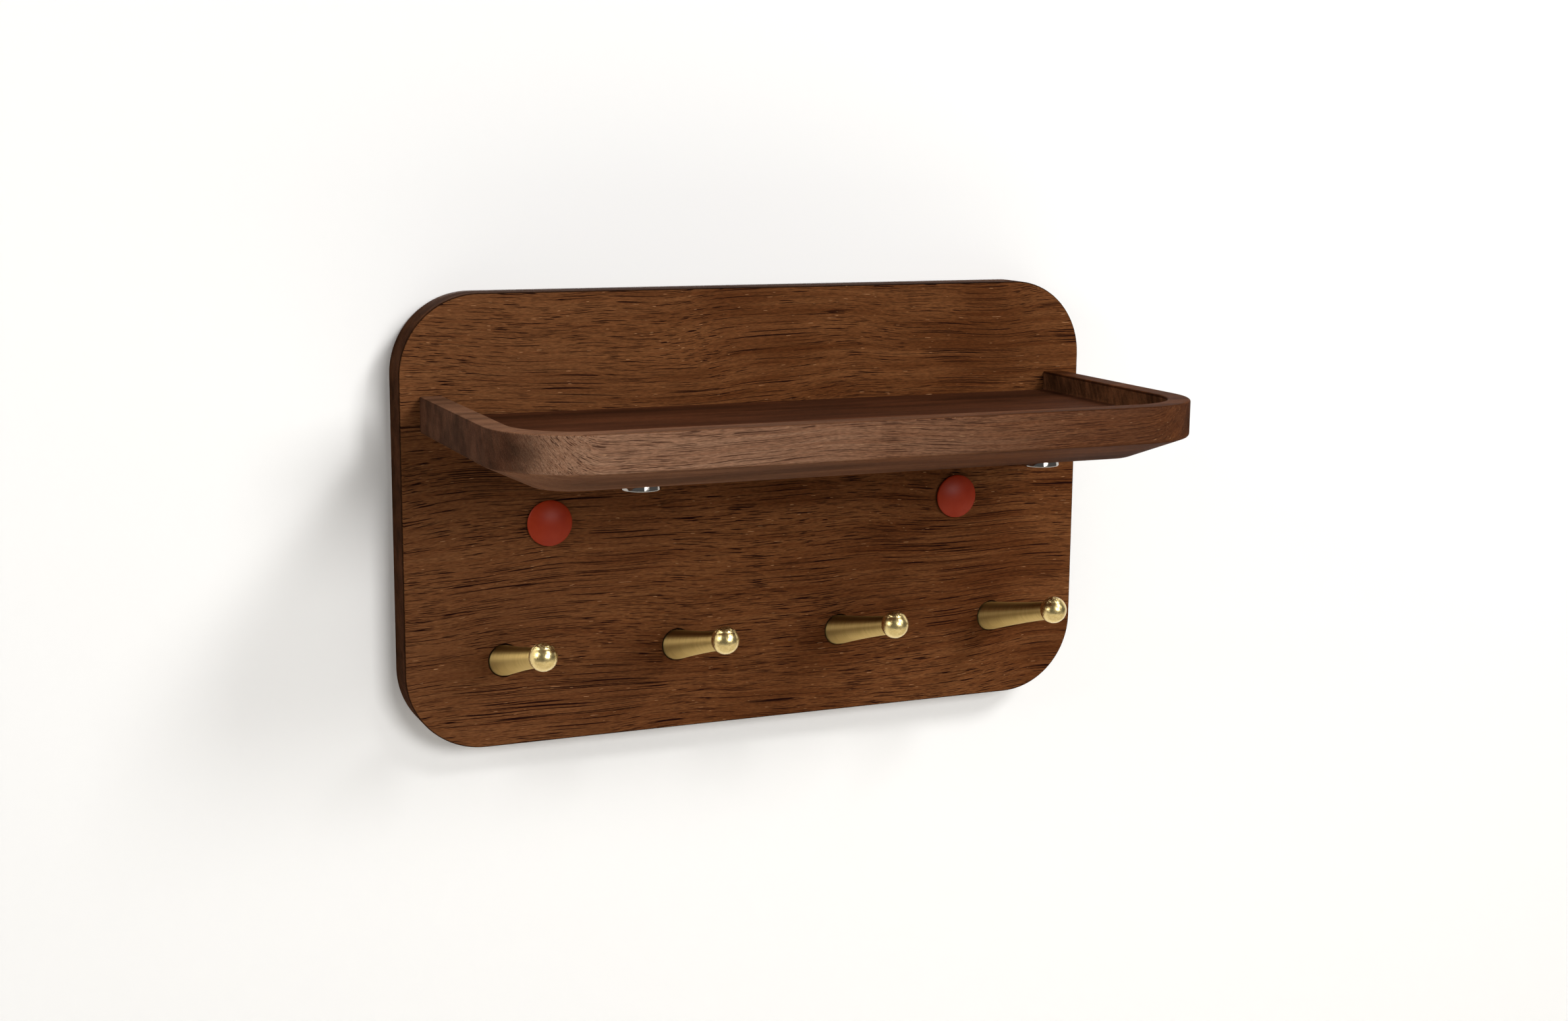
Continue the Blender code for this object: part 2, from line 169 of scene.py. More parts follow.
def dress(piece, node, body, slot, *materials):
    """Shade a piece smooth with flats kept flat, finish it, and let it stand for a CAD node."""
    piece.data.shade_smooth()
    piece.data.set_sharp_from_angle(angle=SHARP_ANGLE)
    flats = piece.modifiers.new("flats", "WEIGHTED_NORMAL")
    flats.keep_sharp = True
    piece.data.materials.clear()
    for finish in materials:
        piece.data.materials.append(finish)
    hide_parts(node)
    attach(piece, body)


def linear(code):
    """An sRGB hex colour as linear red, green, blue and alpha."""
    levels = [int(code[i:i + 2], 16) / 255 for i in (1, 3, 5)]
    return (*(v / 12.92 if v <= 0.04045 else ((v + 0.055) / 1.055) ** 2.4 for v in levels), 1.0)


def connect(node, inputs):
    """Set a shader node's inputs to values, or link them to sockets."""
    for name, value in inputs.items():
        if isinstance(value, bpy.types.NodeSocket):
            node.id_data.links.new(value, node.inputs[name])
        else:
            node.inputs[name].default_value = value


def add_node(tree, kind, inputs, output=0, **settings):
    """Add a shader node with its settings and links, and give one of its outputs.

    A Mix node takes its share at 0, two numbers at 2 and 3 or two colours at 6 and 7, and gives
    the number at 0 or the colour at 2.
    """
    node = tree.nodes.new("ShaderNode" + kind)
    for name, value in settings.items():
        setattr(node, name, value)
    connect(node, inputs)
    return node.outputs[output]


def new_material(name):
    """A Principled material: itself, its node tree and its shader."""
    material = bpy.data.materials.new(name)
    material.use_nodes = True
    return material, material.node_tree, material.node_tree.nodes["Principled BSDF"]


# The walnut's figure in millimetres: along the grain, across the growth rings and along them,
# and the detail of its noise
WALNUT_FIGURE = {
    "clouds": (60, 22, 40, 2.0),
    "streaks": (130, 1.6, 7, 3.0),
    "bands": (50, 0.45, 2.5, 2.0),
    "blotches": (80, 8, 8, 3.0),
    "fibres": (2.4, 0.16, 0.5, 2.0),     # really finer, and drawn coarse enough to show
    "plenty": (90, 30, 45, 0.0),         # where the pores are many or few
    "runs": (55, 0.16, 1.9, 0.7),        # long pores
    "nicks": (11, 0.13, 1.0, 0.7),       # short pores
    "flecks": (4.0, 0.13, 0.6, 0.0),
}
RING_TILT = math.radians(25)
GRAIN_WAVES = ((110, 60, 6), (35, 30, 1.4))     # millimetres along, across, and of drift
MM_PER_METRE = (1000, 1000, 1000)
NOISE_MIDDLE = (0.5, 0.5, 0.5)
DARK_BAND = (0.87, 0.81, 0.78, 1.0)             # factors on red, green and blue
PALE_BAND = (1.12, 1.17, 1.2, 1.0)
PALE_SHEEN_DRIFT = 0.08               # metres that clouds shift the paler run with painted sheen by
FLAT_PAINTED_SHEEN = 0.45                # share of that run left on flats, as painted sheen
STAIN_COVER = 0.85              # share of the wood's own colour that stain hides on end grain
PLANED_PORES = 0.35             # share of the pores left open on planed flats and ends
EASED_FACING = 0.6              # how far the middle of an eased edge looks to the front
FIBRE_HEIGHT = 0.4              # of the depth of a pore
PORE_DEPTH = 0.0002


def stained_walnut(name, dark, gold, pale_sheen, pale_sheen_run, pore, fleck, offset, end_stain,
                   pore_share=1.0, edge_shade=0.0, flat_stain=0.0):
    """Open-pored walnut, planed, stained, and finished with a dull oil worked in by rubbing.

    The grain runs along X. The eye sees soft clouds and streaks of brown and gold, fine bands and
    fibres, and thin dark pores that bend with the grain: long in some places and short in others,
    many or few, and slanted nicks on the end grain. Planed flats and ends are blotched where they
    drank the stain, and a few pale flecks of filler are painted bright as glints of the lacquer.
    A paler run fades along X between the two ends of its given run, partly paler wood and partly
    painted sheen, and some of it lies on flats as painted sheen. The middle of an eased edge can
    be painted darker, as painted shade.
    """
    material, tree, shader = new_material(name)
    place = add_node(tree, "TexCoord", {}, "Object")
    mm = add_node(tree, "VectorMath", {0: place, 1: MM_PER_METRE, 2: offset},
                  operation="MULTIPLY_ADD")
    grain = mm
    for along, across, drift in GRAIN_WAVES:
        scale = (1 / along, 1 / across, 1 / across)
        spot = add_node(tree, "VectorMath", {0: mm, 1: scale}, operation="MULTIPLY")
        wave = add_node(tree, "TexNoise", {"Vector": spot, "Scale": 1.0, "Detail": 0.0}, "Color")
        wave = add_node(tree, "VectorMath", {0: wave, 1: NOISE_MIDDLE}, operation="SUBTRACT")
        grain = add_node(tree, "VectorMath", {0: wave, 1: (0, drift, drift), 2: grain},
                         operation="MULTIPLY_ADD")
    grain = add_node(tree, "VectorRotate", {"Vector": grain, "Angle": RING_TILT},
                     rotation_type="X_AXIS")
    figure = {}
    for layer, (along, across, rings, detail) in WALNUT_FIGURE.items():
        scale = (1 / along, 1 / across, 1 / rings)
        spot = add_node(tree, "VectorMath", {0: grain, 1: scale}, operation="MULTIPLY")
        noise = {"Vector": spot, "Scale": 1.0, "Detail": detail}
        figure[layer] = add_node(tree, "TexNoise", noise, "Fac")

    # How far a face looks along the grain, up or down, or out
    normal = add_node(tree, "NewGeometry", {}, "Normal")
    facing = add_node(tree, "VectorMath", {0: normal}, operation="ABSOLUTE")
    facing = add_node(tree, "SeparateXYZ", {0: facing}).node.outputs
    on_end = add_node(tree, "MapRange", {"Value": facing["X"], "From Min": 0.45, "From Max": 0.9},
                      interpolation_type="SMOOTHSTEP")
    on_flat = add_node(tree, "MapRange", {"Value": facing["Z"], "From Min": 0.3, "From Max": 0.7},
                       interpolation_type="SMOOTHSTEP")
    planed = add_node(tree, "Math", {0: on_flat, 1: on_end}, operation="MAXIMUM")

    # Clouds and streaks choose between the two browns; a paler run, partly paler wood and partly
    # painted sheen, lightens one end of the face, and some of it lies on flats as painted sheen
    tone = add_node(tree, "Math", {0: figure["streaks"], 1: figure["clouds"]})
    tone = add_node(tree, "MapRange", {"Value": tone, "From Min": 0.75, "From Max": 1.28},
                    interpolation_type="SMOOTHSTEP")
    wood = add_node(tree, "Mix", {0: tone, 6: linear(dark), 7: linear(gold)}, 2, data_type="RGBA")
    run = add_node(tree, "SeparateXYZ", {0: place}, "X")
    run = add_node(tree, "Math", {0: figure["clouds"], 1: PALE_SHEEN_DRIFT, 2: run},
                   operation="MULTIPLY_ADD")
    pale_sheen_from, pale_sheen_to = pale_sheen_run
    run = add_node(tree, "MapRange", {"Value": run, "From Min": pale_sheen_from, "From Max": pale_sheen_to,
                                      "To Min": 1.0, "To Max": 0.0},
                   interpolation_type="SMOOTHSTEP")
    flat_sheen_share = add_node(tree, "MapRange", {"Value": on_flat, "To Min": 1.0, "To Max": FLAT_PAINTED_SHEEN})
    run = add_node(tree, "Math", {0: run, 1: flat_sheen_share}, operation="MULTIPLY")
    wood = add_node(tree, "Mix", {0: run, 6: wood, 7: linear(pale_sheen)}, 2, data_type="RGBA")

    # End grain drinks the stain in patches, and so do flats by flat_stain; blotches mottle both,
    # and bands and fibres mottle it all
    drunk = add_node(tree, "Math", {0: on_flat, 1: flat_stain}, operation="MULTIPLY")
    drunk = add_node(tree, "Math", {0: on_end, 1: drunk}, operation="MAXIMUM")
    drunk = add_node(tree, "Math", {0: drunk, 1: STAIN_COVER}, operation="MULTIPLY")
    patchy = add_node(tree, "MapRange", {"Value": tone, "To Min": 0.6, "To Max": 1.4})
    stain = add_node(tree, "VectorMath", {0: linear(end_stain)[:3], "Scale": patchy},
                     operation="SCALE")
    wood = add_node(tree, "Mix", {0: drunk, 6: wood, 7: stain}, 2, data_type="RGBA")
    blotchy = add_node(tree, "MapRange", {"Value": figure["blotches"], "From Min": 0.35,
                                          "From Max": 0.65, "To Min": 0.7, "To Max": 1.3})
    blotchy = add_node(tree, "Mix", {0: planed, 2: 1.0, 3: blotchy}, 0, data_type="FLOAT")
    wood = add_node(tree, "VectorMath", {0: wood, "Scale": blotchy}, operation="SCALE")
    bands = add_node(tree, "MapRange", {"Value": figure["bands"], "From Min": 0.3,
                                        "From Max": 0.7})
    bands = add_node(tree, "Mix", {0: bands, 6: DARK_BAND, 7: PALE_BAND}, 2, data_type="RGBA")
    wood = add_node(tree, "VectorMath", {0: wood, 1: bands}, operation="MULTIPLY")
    shade = add_node(tree, "MapRange", {"Value": figure["fibres"], "From Min": 0.3,
                                        "From Max": 0.7, "To Min": 0.68, "To Max": 1.32})
    wood = add_node(tree, "VectorMath", {0: wood, "Scale": shade}, operation="SCALE")

    # Pores lie along the grain as long runs in some places and short nicks in others, and are
    # nearly closed on planed flats and ends
    length = add_node(tree, "MapRange", {"Value": figure["clouds"], "From Min": 0.46,
                                         "From Max": 0.56}, interpolation_type="SMOOTHSTEP")
    pores = add_node(tree, "Mix", {0: length, 2: figure["runs"], 3: figure["nicks"]}, 0,
                     data_type="FLOAT")
    plenty = add_node(tree, "MapRange", {"Value": figure["plenty"], "From Min": 0.35,
                                         "From Max": 0.65, "To Min": -0.022, "To Max": 0.006})
    pores = add_node(tree, "Math", {0: pores, 1: plenty})
    pores = add_node(tree, "MapRange", {"Value": pores, "From Min": 0.585, "From Max": 0.64},
                     interpolation_type="SMOOTHSTEP")
    open_share = add_node(tree, "MapRange", {"Value": planed, "To Min": pore_share,
                                             "To Max": PLANED_PORES * pore_share})
    pores = add_node(tree, "Math", {0: pores, 1: open_share}, operation="MULTIPLY")
    # Pale flecks of filler, painted bright as glints of the lacquer
    specks_with_glints = add_node(tree, "MapRange", {"Value": figure["flecks"], "From Min": 0.82,
                                         "From Max": 0.86}, interpolation_type="SMOOTHSTEP")
    specks_with_glints = add_node(tree, "Math", {0: specks_with_glints, 1: open_share}, operation="MULTIPLY")
    wood = add_node(tree, "Mix", {0: specks_with_glints, 6: wood, 7: linear(fleck)}, 2, data_type="RGBA")
    wood = add_node(tree, "Mix", {0: pores, 6: wood, 7: linear(pore)}, 2, data_type="RGBA")

    # Painted shade: the middle of an eased edge between the face and the sides is darkened, as a
    # shadow line
    edge = add_node(tree, "Math", {0: facing["Y"], 1: EASED_FACING}, operation="SUBTRACT")
    edge = add_node(tree, "Math", {0: edge}, operation="ABSOLUTE")
    edge = add_node(tree, "MapRange", {"Value": edge, "From Min": 0.25, "From Max": 0.38,
                                       "To Min": 1.0 - edge_shade, "To Max": 1.0})
    wood = add_node(tree, "VectorMath", {0: wood, "Scale": edge}, operation="SCALE")

    # Fibres stand up a little, pores sink in, and both pores and end grain are rougher
    height = add_node(tree, "Math", {0: figure["fibres"], 1: FIBRE_HEIGHT}, operation="MULTIPLY")
    height = add_node(tree, "Math", {0: height, 1: pores}, operation="SUBTRACT")
    relief = add_node(tree, "Bump", {"Height": height, "Strength": 0.7, "Distance": PORE_DEPTH})
    rough = add_node(tree, "Math", {0: pores, 1: on_end}, operation="MAXIMUM")
    rough = add_node(tree, "MapRange", {"Value": rough, "To Min": 0.6, "To Max": 0.95})
    connect(shader, {"Base Color": wood, "Roughness": rough, "Normal": relief,
                     "Specular IOR Level": 0.015})
    return material


def board_outline(inset):
    """The board's outline in X and Z, drawn in by inset."""
    radius = BOARD_CORNER_RADIUS - inset
    x = board_high.x - BOARD_CORNER_RADIUS
    z = board_high.z - BOARD_CORNER_RADIUS
    points = []
    for corner, start in (((x, z), 0), ((-x, z), 90), ((-x, -z), 180), ((x, -z), 270)):
        points += arc(corner, radius, start, start + 90, CORNER_STEPS)
    return points


def board_mesh():
    """The board before it is drilled: its outline carried round an eased edge, front and back."""
    margin = EASE_MARGIN * BOARD_EDGE_EASE
    back, face = board_high.y, board_low.y
    section = eased([(margin, back), (0.0, back), (0.0, face), (margin, face)], BOARD_EDGE_EASE)
    bm = bmesh.new()
    rings = [[bm.verts.new((x, y, z)) for x, z in board_outline(inset)] for inset, y in section]
    bridge(bm, rings)
    bm.faces.new(rings[0])
    bm.faces.new(rings[-1])
    return finish_mesh("board", bm)


# Holes in the board, each a turned cutter: stepped peg sockets, capped wall holes, screw seats
# and dowel holes
OUT_OF_FACE = Matrix.Rotation(math.pi / 2, 4, "X")
PEG_TILT = math.radians(14.5)
PEG_RISE = 0.035                # of a peg's axis on the face, above the board's lower edge
PEG_GAP = 0.0006                # round a peg's foot in its socket
PEG_SOCKET_DEPTH = 0.004
PEG_FOOT_RADIUS = 0.00605
PEG_SCREW_RADIUS = 0.002
PEG_SCREW_HEAD_RADIUS = 0.0039
PEG_SCREW_COUNTERBORE = 0.0055
WALL_HOLE_RADIUS = 0.0025
WALL_COUNTERBORE_RADIUS = 0.005
WALL_COUNTERBORE_DEPTH = 0.008
SHELF_SCREW_RADIUS = 0.002
SHELF_SCREW_HEAD_RADIUS = 0.004
SCREW_POINT = 0.003
DOWEL_EASE = 0.0008

slanted_thickness = board_thickness / math.cos(PEG_TILT)        # of the board, along a peg
peg_names = [f"peg_{number}" for number in (1, 2, 3, 4)]
cap_names = ["screw_cap_left", "screw_cap_right"]
shelf_screw_names = [f"shelf_screw_{number}" for number in (1, 2, 3)]
dowel_names = ["shelf_dowel_left", "shelf_dowel_right"]


def middle(node):
    """The middle of a CAD node's box."""
    low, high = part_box(node)
    return (low + high) / 2


def out_of(node, y):
    """A frame on a node's axis at a depth y: +Z points out of the board's face."""
    return Matrix.Translation((middle(node).x, y, middle(node).z)) @ OUT_OF_FACE


def along_peg(node):
    """A peg's own frame: its origin on the board's face, +Z out along the peg."""
    spot = Vector((middle(node).x, BOARD_FACE_Y, board_low.z + PEG_RISE))
    return Matrix.Translation(spot) @ Matrix.Rotation(math.pi / 2 - PEG_TILT, 4, "X")


def peg_hole_profile():
    """Counterbore, screw hole and socket in one, from behind the board to before its face."""
    foot = PEG_FOOT_RADIUS + PEG_GAP
    head, shank = PEG_SCREW_HEAD_RADIUS + FIT, PEG_SCREW_RADIUS + FIT
    back = -slanted_thickness - head * math.tan(PEG_TILT) - OVERCUT
    seat = PEG_SCREW_COUNTERBORE - slanted_thickness
    front = foot * math.tan(PEG_TILT) + OVERCUT
    return [(0.0, back), (head, back), (head, seat), (shank, seat), (shank, -PEG_SOCKET_DEPTH),
            (foot, -PEG_SOCKET_DEPTH), (foot, front), (0.0, front)]


def wall_hole_profile():
    """Hole of a wall screw and the counterbore that its cap plugs."""
    back, seat = -board_thickness - OVERCUT, -WALL_COUNTERBORE_DEPTH
    hole, counterbore = WALL_HOLE_RADIUS, WALL_COUNTERBORE_RADIUS
    return [(0.0, back), (hole, back), (hole, seat), (counterbore, seat), (counterbore, OVERCUT),
            (0.0, OVERCUT)]


def countersunk_profile(shank, head, length, grow=0.0, run_out=0.0):
    """Countersunk screw from its head at height 0 to its point.

    Grown by the fit it is the screw's hole, which runs out past the head.
    """
    top = [(0.0, -run_out), (head + grow, -run_out)]
    if run_out > 0.0:
        top.append((head + grow, 0.0))
    cone_end, point_start = head - shank, length - SCREW_POINT
    return top + [(shank + grow, cone_end), (shank + grow, point_start), (0.0, length + grow)]


def dowel_profile(radius, length, grow=0.0):
    """Dowel with chamfered ends; grown by the fit it is the dowel's hole."""
    wide, start, end = radius + grow, -grow, length + grow
    return [(0.0, start), (wide - DOWEL_EASE, start), (wide, start + DOWEL_EASE),
            (wide, end - DOWEL_EASE), (wide - DOWEL_EASE, end), (0.0, end)]


def shelf_hole_cutters():
    """Cutters for the shelf screws and dowels, which go through the board into the tray."""
    cutters = []
    for name in shelf_screw_names:
        low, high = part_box(name)
        profile = countersunk_profile(SHELF_SCREW_RADIUS, SHELF_SCREW_HEAD_RADIUS,
                                      high.y - low.y, FIT, OVERCUT)
        cutters.append(show(f"{name}_hole", turned_mesh("hole", profile), out_of(name, high.y)))
    for name in dowel_names:
        low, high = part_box(name)
        profile = dowel_profile((high.x - low.x) / 2, high.y - low.y, FIT)
        cutters.append(show(f"{name}_hole", turned_mesh("hole", profile), out_of(name, high.y)))
    return cutters


board = show("board", board_mesh())
cutters = shelf_hole_cutters()
for name in peg_names:
    hole = turned_mesh("hole", peg_hole_profile())
    cutters.append(show(f"{name}_hole", hole, along_peg(name)))
for name in cap_names:
    hole = turned_mesh("hole", wall_hole_profile())
    cutters.append(show(f"{name}_hole", hole, out_of(name, BOARD_FACE_Y)))
drill(board, cutters)
# Painted light on the board: a paler run with painted sheen towards its left end, and painted shade
# along the middle of its eased edges
BOARD_WALNUT = stained_walnut("board_walnut", dark="#552F16", gold="#6D4325", pale_sheen="#6C4428",
                              pale_sheen_run=(-0.14, 0.06), pore="#200C08", fleck="#BA885E",
                              offset=(160, 160, 0), end_stain="#26140B", edge_shade=0.7,
                              flat_stain=0.8)
dress(board, "back_board", "holder", "board_wood", BOARD_WALNUT)


# Shelf dowels: two fluted beech pins, glued half in the board and half in the tray to keep it
# level. They are milled from rod with straight glue flutes and chamfered ends, and don't show
# once it is together.
DOWEL_FLUTES = 18
DOWEL_FLUTE_DEPTH = 0.0003
DOWEL_FLUTE_STEPS = 8
BEECH_TAN = "#D2AC80"
BEECH_FLECK = "#B4875A"
BEECH_FLECK_LENGTH = 0.0025     # really 1 to 3 mm
BEECH_FLECK_WIDTH = 0.0003


def plain_beech():
    """Beech rod, milled and left bare: pale pinkish tan with short darker flecks on the grain."""
    material, tree, shader = new_material("plain_beech")
    place = add_node(tree, "TexCoord", {}, "Object")
    scale = (1 / BEECH_FLECK_WIDTH, 1 / BEECH_FLECK_WIDTH, 1 / BEECH_FLECK_LENGTH)
    spot = add_node(tree, "VectorMath", {0: place, 1: scale}, operation="MULTIPLY")
    flecks = add_node(tree, "TexNoise", {"Vector": spot, "Scale": 1.0, "Detail": 2.0}, "Fac")
    share = add_node(tree, "MapRange", {"Value": flecks, "From Min": 0.45, "From Max": 0.7})
    tone = add_node(tree, "Mix", {0: share, 6: linear(BEECH_TAN), 7: linear(BEECH_FLECK)}, 2,
                    data_type="RGBA")
    relief = add_node(tree, "Bump", {"Height": flecks, "Strength": 0.3, "Distance": 0.0001})
    connect(shader, {"Base Color": tone, "Roughness": 0.7, "Normal": relief,
                     "Specular IOR Level": 0.3})
    return material


def flute(mesh, radius):
    """Press straight glue flutes into the widest part of a turned pin."""
    for vert in mesh.vertices:
        if math.hypot(vert.co.x, vert.co.y) > radius - DOWEL_FLUTE_DEPTH:
            angle = math.atan2(vert.co.y, vert.co.x)
            depth = DOWEL_FLUTE_DEPTH * (0.5 - 0.5 * math.cos(DOWEL_FLUTES * angle))
            vert.co.xy *= 1 - depth / radius


BEECH = plain_beech()
for name in dowel_names:
    low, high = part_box(name)
    radius = (high.x - low.x) / 2
    profile = dowel_profile(radius, high.y - low.y)
    pin = turned_mesh(name, profile, DOWEL_FLUTE_STEPS * DOWEL_FLUTES)
    flute(pin, radius)
    dowel = show(f"fluted_{name}", pin, out_of(name, high.y))
    dress(dowel, name, "holder", "dowel_beech", BEECH)


# Shelf tray: one thick walnut plank, routed out on top to leave a rim, with rounded front corners
# and a bevel underneath along its front and ends. It is screwed and dowelled to the board from
# behind, and the routed floor is smoother and darker than the planed outside.
TRAY_CORNER_RADIUS = 0.034
TRAY_RIM = 0.009
TRAY_RECESS = 0.008
TRAY_WALL_HEIGHT = 0.014
TRAY_BEVEL_RUN = 0.025          # along the front
TRAY_END_BEVEL_RUN = 0.020      # along the two ends
TRAY_EDGE_EASE = 0.001
MAGNET_SCREW_RADIUS = 0.0015
MAGNET_SCREW_HEAD_RADIUS = 0.003

tray_low, tray_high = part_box("shelf_tray")
tray_middle = (tray_low + tray_high) / 2
TRAY_FLOOR_Z = tray_high.z - TRAY_RECESS
TRAY_CREASE_Z = tray_high.z - TRAY_WALL_HEIGHT
sides = ("left", "right")


def tray_outline(inset, z):
    """The tray's ends and front in X and Y, drawn in by inset at height z.

    It runs from the left back to the right back. On the bevel the ends are drawn in less.
    """
    down_bevel = max(TRAY_CREASE_Z - z, 0.0) / (TRAY_CREASE_Z - tray_low.z)
    front = tray_low.y + inset
    inset -= down_bevel * (TRAY_BEVEL_RUN - TRAY_END_BEVEL_RUN)
    radius = TRAY_CORNER_RADIUS - inset
    x = tray_high.x - TRAY_CORNER_RADIUS
    left = arc((-x, front + radius), radius, 180, 270, CORNER_STEPS)
    right = arc((x, front + radius), radius, 270, 360, CORNER_STEPS)
    return [(inset - tray_high.x, tray_high.y), *left, *right,
            (tray_high.x - inset, tray_high.y)]


def tray_mesh():
    """The tray before it is drilled: underside, bevel, rim and routed floor, with a flat back."""
    top, bottom = tray_high.z, tray_low.z
    margin = EASE_MARGIN * TRAY_EDGE_EASE
    section = eased([(TRAY_BEVEL_RUN + margin, bottom), (TRAY_BEVEL_RUN, bottom),
                     (0.0, TRAY_CREASE_Z), (0.0, top), (TRAY_RIM, top), (TRAY_RIM, TRAY_FLOOR_Z),
                     (TRAY_RIM + margin, TRAY_FLOOR_Z)], TRAY_EDGE_EASE)
    bm = bmesh.new()
    rings = [[bm.verts.new((x, y, z)) for x, y in tray_outline(inset, z)] for inset, z in section]
    bridge(bm, rings, closed=False)
    bm.faces.new(rings[0])
    bm.faces.new(rings[-1])
    bm.faces.new([ring[0] for ring in rings] + [ring[-1] for ring in reversed(rings)])
    return finish_mesh("tray", bm)


def magnet_seat_profile(magnet, screw):
    """Seat of a magnet and hole of its screw in one, from the magnet's lower face up."""
    low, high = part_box(magnet)
    radius = (high.x - low.x) / 2 + FIT
    depth = high.z - low.z + FIT
    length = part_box(screw)[1].z - low.z
    bore = MAGNET_SCREW_RADIUS + FIT
    return [(0.0, 0.0), (radius, 0.0), (radius, depth), (bore, depth),
            (bore, length - SCREW_POINT), (0.0, length + FIT)]


def on_lower_face(node):
    """A frame at the middle of a node's lower face, +Z up."""
    return Matrix.Translation((middle(node).x, middle(node).y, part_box(node)[0].z))


def in_recess(face):
    """Whether a face of the tray is the routed floor or the inside of its rim."""
    inward = (tray_middle - face.center).xy.dot(face.normal.xy) > 0
    on_floor = abs(face.center.z - TRAY_FLOOR_Z) < TRAY_EDGE_EASE
    return on_floor or inward and TRAY_FLOOR_Z < face.center.z < tray_high.z - TRAY_EDGE_EASE


tray = show("tray", tray_mesh())
cutters = shelf_hole_cutters()
for side in sides:
    name = f"key_magnet_{side}"
    seat = turned_mesh("seat", magnet_seat_profile(name, f"magnet_screw_{side}"))
    cutters.append(show(f"{name}_seat", seat, on_lower_face(name)))
drill(tray, cutters)
# Painted sheen on the tray: a paler run towards its left end, partly painted sheen, and some of it
# on the rim top and bevel as painted sheen
TRAY_WALNUT = stained_walnut("tray_walnut", dark="#46230C", gold="#572F14", pale_sheen="#85634D",
                             pale_sheen_run=(-0.12, 0.22), pore="#321C14", fleck="#B28A65",
                             offset=(490, 380, 20), end_stain="#2A1308", pore_share=0.8)
RECESS_WALNUT = stained_walnut("recess_walnut", dark="#402416", gold="#4D2B19", pale_sheen="#482919",
                               pale_sheen_run=(-0.1, 0.1), pore="#2D160D", fleck="#714D33",
                               offset=(490, 380, 20), end_stain="#51321E", pore_share=0.5)
dress(tray, "shelf_tray", "holder", "tray_wood", TRAY_WALNUT, RECESS_WALNUT)
for face in tray.data.polygons:
    face.material_index = int(in_recess(face))


# Shelf screws: three zinc-plated wood screws that draw the tray against the board from behind.
# They are cold-headed steel with countersunk heads and six-sided sockets.
DRIVE_RADIUS = 0.0014
DRIVE_DEPTH = 0.0012
DRIVE_SIDES = 6
SCREW_STEPS = 48
SCREW_EASE = 0.0003
ZINC_GREY = "#A9ADB0"
ZINC_PALE = "#CBCED0"
ZINC_CLOUD = 0.0015


def zinc_plate():
    """Bright zinc on steel: cool grey, half glossy, with faint cloudy patches from the bath."""
    material, tree, shader = new_material("zinc_plate")
    place = add_node(tree, "TexCoord", {}, "Object")
    clouds = add_node(tree, "TexNoise", {"Vector": place, "Scale": 1 / ZINC_CLOUD, "Detail": 3.0},
                      "Fac")
    tone = add_node(tree, "Mix", {0: clouds, 6: linear(ZINC_GREY), 7: linear(ZINC_PALE)}, 2,
                    data_type="RGBA")
    rough = add_node(tree, "MapRange", {"Value": clouds, "To Min": 0.25, "To Max": 0.42})
    connect(shader, {"Base Color": tone, "Metallic": 1.0, "Roughness": rough})
    return material


ZINC = zinc_plate()


def add_screw(name, profile, place):
    """Turn a screw, sink the six-sided socket in its head, and let it stand for its CAD node."""
    screw = show(f"zinc_{name}", turned_mesh(name, eased(profile, SCREW_EASE), SCREW_STEPS), place)
    socket = [(0.0, -OVERCUT), (DRIVE_RADIUS, -OVERCUT), (DRIVE_RADIUS, DRIVE_DEPTH),
              (0.0, DRIVE_DEPTH)]
    drill(screw, [show(f"{name}_drive", turned_mesh("drive", socket, DRIVE_SIDES), place)])
    dress(screw, name, "holder", "screw_steel", ZINC)


for name in shelf_screw_names:
    low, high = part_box(name)
    profile = countersunk_profile(SHELF_SCREW_RADIUS, SHELF_SCREW_HEAD_RADIUS, high.y - low.y)
    add_screw(name, profile, out_of(name, high.y))


# Key magnets: nickel-plated rings let a little into the tray's underside, where key rings cling
# to them. Each is ground with eased edges and held by a countersunk zinc screw.
MAGNET_EASE = 0.0005
MAGNET_DRAFT = 0.0006           # it narrows this much towards the tray
MAGNET_STEPS = 96
NICKEL_GREY = "#ACA7A1"
NICKEL_HAZE = 0.002


def nickel_plate():
    """Bright nickel on a ground magnet: a clear cool mirror with faint haze."""
    material, tree, shader = new_material("nickel_plate")
    place = add_node(tree, "TexCoord", {}, "Object")
    haze = add_node(tree, "TexNoise", {"Vector": place, "Scale": 1 / NICKEL_HAZE, "Detail": 3.0},
                    "Fac")
    rough = add_node(tree, "MapRange", {"Value": haze, "To Min": 0.02, "To Max": 0.08})
    connect(shader, {"Base Color": linear(NICKEL_GREY), "Metallic": 1.0, "Roughness": rough})
    return material


def magnet_profile(edge, top):
    """Section of a ring magnet round its countersunk hole, from its lower face at height 0."""
    hole, sink = MAGNET_SCREW_RADIUS + FIT, MAGNET_SCREW_HEAD_RADIUS + FIT
    start = ((sink + edge) / 2, 0.0)
    return eased([start, (edge, 0.0), (edge - MAGNET_DRAFT, top), (hole, top),
                  (hole, sink - hole), (sink, 0.0), start], MAGNET_EASE)[:-1]


NICKEL = nickel_plate()
for side in sides:
    name, screw = f"key_magnet_{side}", f"magnet_screw_{side}"
    low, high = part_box(name)
    spot = on_lower_face(name)
    profile = magnet_profile((high.x - low.x) / 2, high.z - low.z)
    magnet = show(f"nickel_{name}", turned_mesh(name, profile, MAGNET_STEPS, ring=True), spot)
    dress(magnet, name, "holder", "magnet_nickel", NICKEL)
    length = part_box(screw)[1].z - low.z
    profile = countersunk_profile(MAGNET_SCREW_RADIUS, MAGNET_SCREW_HEAD_RADIUS, length)
    add_screw(screw, profile, spot)


